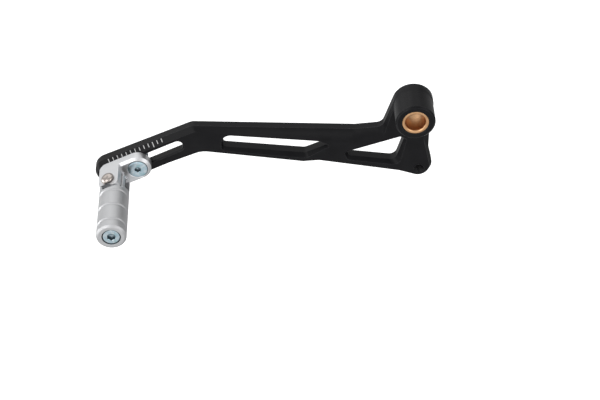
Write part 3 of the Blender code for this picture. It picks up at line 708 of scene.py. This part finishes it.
def make_bush(name, outside, inside, node):
    """A plain bush: chamfered and eased where it shows, square where the two nearly meet."""
    inner, outer = BUSH_BORE, BUSH_OUTER - 0.02
    way = 1 if inside > outside else -1
    profile = [(inner, outside + way * BUSH_CHAMFER),
               (inner + 0.12, outside + way * (BUSH_CHAMFER - 0.22)),
               (inner + BUSH_CHAMFER - 0.15, outside + way * 0.1), (inner + BUSH_CHAMFER, outside),
               (outer - 0.25, outside), (outer - 0.08, outside + way * 0.08),
               (outer, outside + way * 0.25), (outer, inside - way * 0.2), (outer - 0.2, inside),
               (inner + 0.06, inside), (inner, inside - way * 0.06)]
    bush = turned(name, profile, material=bush_bronze, closed=True)
    smooth_by_angle(bush, SMALL_SHARP)
    place_piece(bush, "lever", "bush_bronze", node)


# ---------------------------------------------------------------- bracket

def bracket_outline(radius, left):
    """Eye round the clamp screw on the right, square-ended on the left."""
    corner = BRACKET_END_CORNER
    return (arc((0, 0), radius, 90, -90, 64)
            + arc((left + corner, -radius + corner), corner, -90, -180, 10)
            + arc((left + corner, radius - corner), corner, 180, 90, 10))


def ear_outline(right, nub=()):
    """An ear in the bracket's XY plane; the nub's corners go in front of its right side."""
    left, front = PIN_X - EAR_LEFT, PIN_Y - EAR_REACH
    return rounded([(left, EAR_REAR, EAR_BACK_LEFT), (right, EAR_REAR, EAR_BACK_RIGHT),
                    *(nub or [(right, front, EAR_RIGHT_CORNER)]), (left, front, EAR_LEFT_CORNER)])


def make_bracket():
    """The clamped plate with the fork and its two ears."""
    left = PIN_X - EAR_LEFT + 0.2
    full = bracket_outline(BRACKET_RADIUS, left)
    inner = bracket_outline(BRACKET_RADIUS - BRACKET_BEVEL, left + BRACKET_BEVEL)
    bracket = loft("bracket", [(BRACKET_FRONT, inner), (BRACKET_FRONT + BRACKET_BEVEL, full),
                               (BRACKET_REAR, full)], IN_BRACKET, bracket_silver)
    upper_right, nub = PIN_X + EAR_RIGHT, PIN_Y - NUB_REACH
    upper = ear_outline(upper_right, [(upper_right, nub, EAR_RIGHT_CORNER),
                                      (PIN_X + NUB_TIP_X, nub, NUB_CORNER),
                                      (PIN_X + NUB_ROOT_X, PIN_Y - EAR_REACH, NUB_CORNER)])
    combine(bracket, slab("upper_ear_form", upper, EAR_ROOT, EAR_OUTER), "UNION")
    lower = ear_outline(PIN_X + LOWER_EAR_RIGHT)
    combine(bracket, slab("lower_ear_form", lower, -EAR_OUTER, -EAR_ROOT), "UNION")
    far_left, far_front, fork_corner = left - 4, PIN_Y - 15, 0.5
    ramp_right, ramp_front, ramp_corner = FORK_RIGHT_X + 3.8, BRACKET_FRONT - 1.8, 2.2
    fork = rounded([(far_left, far_front, fork_corner), (ramp_right, far_front, fork_corner),
                    (ramp_right, ramp_front, fork_corner), (FORK_RIGHT_X, FORK_FLOOR, ramp_corner),
                    (far_left, FORK_FLOOR, fork_corner)], steps=12)
    combine(bracket, slab("fork_cutter", fork, -EAR_INNER, EAR_INNER))
    radius, ear_left = EAR_BACK_CORNER, PIN_X - EAR_LEFT
    centre = (ear_left + radius - 0.1, BRACKET_REAR - radius + 0.1)
    corner = arc(centre, radius, 90, 180, 24)
    corner += [(ear_left - 2, centre[1]), (ear_left - 2, 0), (centre[0], 0)]
    combine(bracket, slab("corner_cutter", corner, -BEYOND, BEYOND))
    reach, shank, ease = CLAMP_HEAD_RADIUS + SINK_CLEARANCE, SHANK_HOLE, 0.3
    combine(bracket, turned("sink_cutter", [
        (0, BRACKET_FRONT - 2), (reach + ease, BRACKET_FRONT - 2), (reach + ease, BRACKET_FRONT),
        (reach, BRACKET_FRONT + ease), (reach, CLAMP_HEAD_TOP + 0.9),
        (shank, CLAMP_HEAD_TOP + CLAMP_HEAD_DEPTH + 0.5), (shank, BRACKET_REAR + 2),
        (0, BRACKET_REAR + 2)], IN_BRACKET, steps=96))
    combine(bracket, pin_hole_cutter(12))
    soften(bracket, 0.28, 3)
    place_piece(bracket, "bracket", "bracket_silver_anodised", "toe_bracket")


def pin_hole_cutter(half_length):
    """The fold pin's hole with its clearance."""
    hole = PIN_RADIUS + HOLE_CLEARANCE
    return turned("pin_hole_cutter", [(0, -half_length), (hole, -half_length), (hole, half_length),
                                      (0, half_length)], ON_FOLD_AXIS, axis="Z", steps=64)


def hexagon(radius):
    """Corners of a hex socket, in the XZ plane."""
    return arc((0, 0), radius, 0, 300, 5)


def cut_socket(head, place, top, radius, depth):
    """A hex socket with a chamfered mouth and a drilled, conical floor."""
    across_flats = radius * math.cos(math.pi / 6)
    mouth, drill, chamfer = across_flats * 1.10, radius * 0.78, 0.15
    floor = top + depth
    combine(head, loft("socket_hex", [(top - 1.3, hexagon(radius)), (floor, hexagon(radius))], place))
    combine(head, turned("socket_mouth", [
        (0, top - 1.0), (mouth + 1.0, top - 1.0), (mouth - chamfer, top + chamfer),
        (0, top + chamfer)], place, steps=64))
    combine(head, turned("socket_drill", [
        (0, floor - 0.4), (drill, floor - 0.4), (drill, floor + 0.1), (0, floor + drill * 0.5)],
        place, steps=64))


def shade_socket(head, place, radius, top, outside):
    """Give the walls and floor of a socket their own, darker surface: painted shade in the recess."""
    head.data.materials.clear()
    head.data.materials.append(outside)
    head.data.materials.append(socket_shade_zinc)
    to_local = place.inverted()
    for face in head.data.polygons:
        x, y, z = to_local @ face.center
        face.material_index = 1 if math.hypot(x, z) < radius and y > top + 0.2 else 0


def make_clamp_screw():
    """Countersunk screw: a head that is flat inside and rounds off to its rim, and a threaded rod."""
    top, radius, rim = CLAMP_HEAD_TOP, CLAMP_HEAD_RADIUS, CLAMP_HEAD_RIM
    bottom = top + CLAMP_HEAD_DEPTH + 0.6
    face = [(radius * k / 20, top + rim * ((k - 12) / 8) ** 3) for k in range(12, 21)]
    head = turned("clamp_head", [(0, top), *face, (radius, top + rim + 0.35), (2.9, bottom),
                                 (0, bottom)], IN_BRACKET, clamp_zinc)
    cut_socket(head, IN_BRACKET, top + 0.05, 2.05, 2.4)
    shade_socket(head, IN_BRACKET, 2.4, top, clamp_zinc)
    smooth_by_angle(head, TURNED_SHARP)
    rod = thread("clamp_thread", top + CLAMP_HEAD_DEPTH + 0.2, CLAMP_TIP, 2.92, 0.5, IN_BRACKET,
                 clamp_zinc)
    smooth_by_angle(rod, COARSE_SHARP)
    place_piece(head, "bracket", "screw_zinc", "clamp_screw")
    place_piece(rod, "bracket", "screw_zinc")


def make_slot_nut():
    """The flat nut in the wide rear part of the slot."""
    half, wide, corner = NUT_HALF_LENGTH, NUT_HALF_WIDTH, NUT_CORNER
    outline = rounded([(-half, wide, corner), (half, wide, corner), (half, -wide, corner),
                       (-half, -wide, corner)])
    rear, hole = PLATE_REAR - NUT_INSET, 2.98
    nut = loft("flat_nut", [(GAP, outline), (rear, outline)], IN_BRACKET, nut_steel)
    combine(nut, turned("nut_cutter", [(0, -1), (hole, -1), (hole, rear - 0.5), (3.5, rear),
                                       (4.0, rear + 0.5), (0, rear + 0.5)], IN_BRACKET, steps=64))
    soften(nut, 0.25, 3)
    place_piece(nut, "bracket", "screw_zinc", "slot_nut")


def make_fold_pin():
    """The hinge pin: domed head, plain shank, a neck for the retaining ring."""
    top = EAR_OUTER + GAP
    tail = -EAR_OUTER - PIN_TAIL
    neck_top = -EAR_OUTER - CLIP_DROP
    neck_low = neck_top - CLIP_THICKNESS - 2 * CLIP_PLAY
    neck = PIN_RADIUS - PIN_NECK_DEPTH
    radius, rise = PIN_HEAD_RADIUS, PIN_HEAD_HEIGHT - PIN_HEAD_RIM
    dome = [(radius * math.sin(a), top + PIN_HEAD_RIM + rise * math.cos(a))
            for a in (math.radians(d) for d in range(0, 91, 9))]
    pin = turned("hinge_pin", dome + [
        (radius, top + 0.12), (radius - 0.12, top), (PIN_RADIUS, top), (PIN_RADIUS, neck_top),
        (neck, neck_top), (neck, neck_low), (PIN_RADIUS, neck_low), (PIN_RADIUS, tail + 0.5),
        (PIN_RADIUS - 0.15, tail + 0.15), (PIN_RADIUS - 0.5, tail), (0, tail)],
        ON_FOLD_AXIS, pin_stainless, axis="Z", steps=96)
    smooth_by_angle(pin, SMALL_SHARP)
    place_piece(pin, "bracket", "pin_steel", "fold_pin")


def make_pin_clip():
    """An open retaining ring with three lobes that bite into the pin's neck."""
    outer, lobe_height = PIN_RADIUS + 1.6, 0.54
    ring = arc((0, 0), outer, CLIP_OPENING, 360 - CLIP_OPENING, 60)
    bite = []
    for degree in range(360 - CLIP_OPENING, CLIP_OPENING - 1, -4):
        angle = math.radians(degree)
        r = PIN_RADIUS - lobe_height * max(0.0, math.cos(3 * angle))
        bite.append((r * math.cos(angle), r * math.sin(angle)))
    high = -EAR_OUTER - CLIP_DROP - CLIP_PLAY
    clip = slab("retaining_ring", ring + bite, high - CLIP_THICKNESS, high, ON_FOLD_AXIS,
                pin_stainless)
    soften(clip, 0.08, 2)
    place_piece(clip, "bracket", "pin_steel", "pin_clip")


def tube(name, points, radius, place, material):
    """A closed round tube along a list of points."""
    bm = bmesh.new()
    rings = []
    normal = None
    sides, count = 20, len(points)
    for i, point in enumerate(points):
        ahead = (Vector(points[min(i + 1, count - 1)]) - Vector(points[max(i - 1, 0)])).normalized()
        if normal is None:
            normal = ahead.orthogonal().normalized()
        normal = (normal - ahead * normal.dot(ahead)).normalized()
        side = ahead.cross(normal)
        ring = []
        for k in range(sides):
            a = math.tau * k / sides
            out = normal * math.cos(a) + side * math.sin(a)
            ring.append(bm.verts.new(Vector(point) + out * radius))
        rings.append(ring)
    skin(bm, rings)
    obj = finish_mesh(name, bm, place, material)
    smooth_by_angle(obj, COARSE_SHARP)
    return obj


def make_spring():
    """The torsion spring round the pin, one leg on the bracket and one in the peg's slot."""
    steps = 40
    count = SPRING_TURNS * steps
    height = SPRING_TURNS * SPRING_PITCH
    radius = SPRING_COIL
    coil = []
    for i in range(count + 1):
        angle = math.tau * (i / steps + 0.25)
        rise = -height / 2 + height * i / count
        coil.append((radius * math.sin(angle), radius * math.cos(angle), rise))
    rest_leg = [(radius, SPRING_REST_LEG * t, coil[0][2]) for t in (1.0, 0.7, 0.4, 0.15)]
    floor = -SPRING_SLOT_FLOOR + 2 * GAP
    peg_leg = [(radius, floor * t, coil[-1][2]) for t in (0.3, 0.65, 1.0)]
    spring = tube("torsion_spring", rest_leg + coil + peg_leg, SPRING_WIRE, ON_FOLD_AXIS,
                  wire_dark)
    place_piece(spring, "bracket", "spring_steel", "return_spring")


# ---------------------------------------------------------------- toe peg

def peg_profile():
    """Round body: eased grooves, end chamfer and counterbore."""
    radius, end = PEG_RADIUS, -PEG_LENGTH
    half, floor_radius = GROOVE_HALF_WIDTH, PEG_RADIUS - GROOVE_DEPTH
    half_groove = ((radius, half + 0.15), (radius - 0.08, half - 0.05),
                   (floor_radius + 0.08, half / 2 + 0.08), (floor_radius, half / 2 - 0.12))
    points = [(0, KNUCKLE_RADIUS + 1), (radius, KNUCKLE_RADIUS + 1)]
    for groove in GROOVES:
        points += [(r, -groove + away) for r, away in half_groove]
        points += [(r, -groove - away) for r, away in reversed(half_groove)]
    hole, floor, chamfer = END_HOLE_RADIUS, end + COUNTERBORE_DEPTH, PEG_END_CHAMFER
    points += [(radius, end + chamfer + 0.2), (radius - 0.12, end + chamfer - 0.15),
               (radius - chamfer + 0.12, end + 0.14), (radius - chamfer - 0.2, end),
               (COUNTERBORE_RADIUS + 0.35, end), (COUNTERBORE_RADIUS + 0.08, end + 0.10),
               (COUNTERBORE_RADIUS, end + 0.4), (COUNTERBORE_RADIUS, floor), (hole, floor),
               (hole, floor + END_SHANK + 1.2), (0, floor + END_SHANK + 2.6)]
    return points


def make_peg():
    """The grooved toe peg: cut back for the two ears, round at the knuckle, slotted for the spring."""
    peg = turned("peg", peg_profile(), ON_FOLD_AXIS, peg_silver, steps=160)
    reach = PEG_SWEEP
    outer = reach + 4
    sweep = arc((0, 0), reach, 180, 360 - math.degrees(math.asin(SHOULDER_REACH / reach)), 64)
    sweep += [(outer, -SHOULDER_REACH), (outer, BEYOND), (-outer, BEYOND), (-outer, 0)]
    combine(peg, slab("upper_sweep", sweep, KNUCKLE_HALF, BEYOND, ON_FOLD_AXIS))
    combine(peg, slab("lower_sweep", sweep, -BEYOND, -KNUCKLE_HALF, ON_FOLD_AXIS))
    reach, flare, behind = KNUCKLE_RADIUS, PEG_RADIUS + 1, 12
    start = math.degrees(math.asin(CHEEK_REACH / reach))
    turn = CHEEK_CORNER
    low, across = CHEEK_REACH - turn, PEG_RADIUS + 0.4 - turn
    back = (arc((across, low), turn, 0, 90, 12) + arc((0, 0), reach, start, 180 - start, 40)
            + arc((-across, low), turn, 90, 180, 12))
    back += [(-flare, low), (-flare, behind), (flare, behind), (flare, low)]
    combine(peg, slab("back_cutter", back, -BEYOND, BEYOND, ON_FOLD_AXIS))
    half = SPRING_SLOT_HALF
    combine(peg, block("spring_slot", (-behind, -SPRING_SLOT_FLOOR, -half), (behind, behind, half),
                       ON_FOLD_AXIS))
    combine(peg, pin_hole_cutter(9))
    soften(peg, 0.16, 2)
    place_piece(peg, "peg", "peg_silver_anodised", "toe_peg")


def make_end_screw():
    """Socket cap screw in the peg's end: a knurled head and a threaded rod."""
    seat = -PEG_LENGTH + COUNTERBORE_DEPTH - GAP
    top = seat - END_HEAD_HEIGHT
    radius = END_HEAD_RADIUS
    steps = 2 * KNURLS
    bm = bmesh.new()
    rings = []
    for r, y, knurled in ((radius - 0.75, top, 0), (radius - 0.35, top + 0.12, 0),
                          (radius - 0.12, top + 0.45, 0), (radius, top + 0.8, 1),
                          (radius, seat - 0.7, 1), (radius - 0.15, seat, 0)):
        ring = []
        for k in range(steps):
            a = math.tau * k / steps
            cut = KNURL_DEPTH * (k % 2) * knurled
            ring.append(bm.verts.new(((r - cut) * math.cos(a), y, (r - cut) * math.sin(a))))
        rings.append(ring)
    skin(bm, rings)
    head = finish_mesh("end_screw", bm, ON_FOLD_AXIS, end_zinc)
    cut_socket(head, ON_FOLD_AXIS, top, 2.7, 2.8)
    shade_socket(head, ON_FOLD_AXIS, 3.2, top, end_zinc)
    smooth_by_angle(head, TURNED_SHARP)
    rod = thread("end_thread", seat - 0.2, seat + END_SHANK, 2.85, 0.45, ON_FOLD_AXIS, end_zinc)
    smooth_by_angle(rod, COARSE_SHARP)
    place_piece(head, "peg", "screw_zinc", "peg_end_screw")
    place_piece(rod, "peg", "screw_zinc")


make_arm()
make_bush("bush_front", HUB_FRONT + BUSH_INSET, HUB_FRONT + BUSH_INSET + BUSH_LENGTH + BUSH_EXTRA,
          "pivot_bush_front")
make_bush("bush_rear", HUB_REAR - BUSH_INSET, HUB_REAR - BUSH_INSET - BUSH_LENGTH - BUSH_EXTRA,
          "pivot_bush_rear")
make_bracket()
make_clamp_screw()
make_slot_nut()
make_fold_pin()
make_pin_clip()
make_spring()
make_peg()
make_end_screw()


# ---------------------------------------------------------------- studio

def floor_material():
    """Matt white with a little light of its own, so that it shows as plain as in the photo."""
    n = Nodes("floor_white")
    where = n.coordinates()
    tone = n.mix(n.noise(where, 3.0, 2.0), (0.90, 0.90, 0.90), (0.93, 0.93, 0.93))
    n.shader.inputs["Emission Color"].default_value = (1.0, 1.0, 1.0, 1.0)
    n.shader.inputs["Emission Strength"].default_value = 0.45
    return n.finish(tone, 0.9, 0.0, specular=0.1)


def make_floor(height):
    """A plain floor at a height in millimetres, left out of reflections."""
    half_side = 6000
    bm = bmesh.new()
    bmesh.ops.create_grid(bm, x_segments=1, y_segments=1, size=half_side)
    bmesh.ops.translate(bm, vec=(0, 0, height), verts=bm.verts)
    floor = finish_mesh("floor", bm, IN_ROW, floor_material())
    floor.visible_glossy = False


def area_light(name, place, target, size, power):
    """A white softbox, in metres and watts."""
    data = bpy.data.lights.new(name, "AREA")
    data.shape = "RECTANGLE"
    data.size, data.size_y = size
    data.energy = power
    light = bpy.data.objects.new(name, data)
    bpy.context.scene.collection.objects.link(light)
    light.location = place
    light.rotation_euler = (Vector(target) - Vector(place)).to_track_quat("-Z", "Y").to_euler()


def make_camera():
    """The photo's view: 40 degrees above, 2 to the left, with the pivot at its pixel of the photo."""
    azimuth, elevation, distance = math.radians(-2.0), math.radians(40.0), 1.05
    image_width, image_height, sensor_width = 600, 400, 36.0
    focal_pixels = 1.67 * 1050
    pivot_column, pivot_row = 413.0, 103.5
    back = Vector((math.sin(azimuth) * math.cos(elevation),
                   -math.cos(azimuth) * math.cos(elevation), math.sin(elevation)))
    right = Vector((math.cos(azimuth), math.sin(azimuth), 0))
    up = back.cross(right)
    pivot_right = (pivot_column - image_width / 2) / focal_pixels * distance
    pivot_up = (image_height / 2 - pivot_row) / focal_pixels * distance
    place = -(right * pivot_right + up * pivot_up) + back * distance
    data = bpy.data.cameras.new("camera")
    data.sensor_width = sensor_width
    data.lens = focal_pixels / image_width * sensor_width
    data.clip_start = 0.01
    data.clip_end = 50
    camera = bpy.data.objects.new("camera", data)
    bpy.context.scene.collection.objects.link(camera)
    camera.matrix_world = Matrix((
        (right.x, up.x, back.x, place.x),
        (right.y, up.y, back.y, place.y),
        (right.z, up.z, back.z, place.z),
        (0, 0, 0, 1)))
    bpy.context.scene.camera = camera


def make_world(bright_from, low, high):
    """White all round, brighter from the side that the key light stands on."""
    world = bpy.data.worlds.new("studio")
    bpy.context.scene.world = world
    world.use_nodes = True
    tree = world.node_tree
    direction = tree.nodes.new("ShaderNodeTexCoord").outputs["Generated"]
    dot = tree.nodes.new("ShaderNodeVectorMath")
    dot.operation = "DOT_PRODUCT"
    tree.links.new(direction, dot.inputs[0])
    dot.inputs[1].default_value = Vector(bright_from).normalized()
    ramp = tree.nodes.new("ShaderNodeMapRange")
    tree.links.new(dot.outputs["Value"], ramp.inputs["Value"])
    spread = 0.6
    for key, value in (("From Min", -spread), ("From Max", spread), ("To Min", low),
                       ("To Max", high)):
        ramp.inputs[key].default_value = value
    tree.links.new(ramp.outputs["Result"], tree.nodes["Background"].inputs["Strength"])
    tree.nodes["Background"].inputs["Color"].default_value = (1.0, 1.0, 1.0, 1.0)


FLOOR_HEIGHT = -330.0               # millimetres, below the object, as if it floats over white
MIDDLE = (-0.09, -0.02, -0.02)      # metres, the middle of the lever, where the lights aim

make_floor(FLOOR_HEIGHT)
area_light("key", (-0.9, -0.9, 0.75), MIDDLE, (0.9, 0.9), 5)
area_light("side", (-1.2, 0.0, -0.08), MIDDLE, (0.9, 0.44), 4)
area_light("front", (-0.2, -1.4, -0.14), MIDDLE, (0.9, 0.3), 1.3)
area_light("fill", (1.0, -0.9, 0.6), MIDDLE, (1.0, 1.0), 4.6)
area_light("back", (-0.9, 1.3, 0.7), MIDDLE, (1.4, 1.0), 2.6)
area_light("floor_light", (0.0, 0.9, 1.4), (0, 0.2, -0.33), (1.6, 1.6), 6)
make_world((-0.6, -0.8, 0.0), 0.50, 0.86)
bpy.context.scene.view_settings.view_transform = "Standard"
bpy.context.scene.view_settings.look = "None"
make_camera()
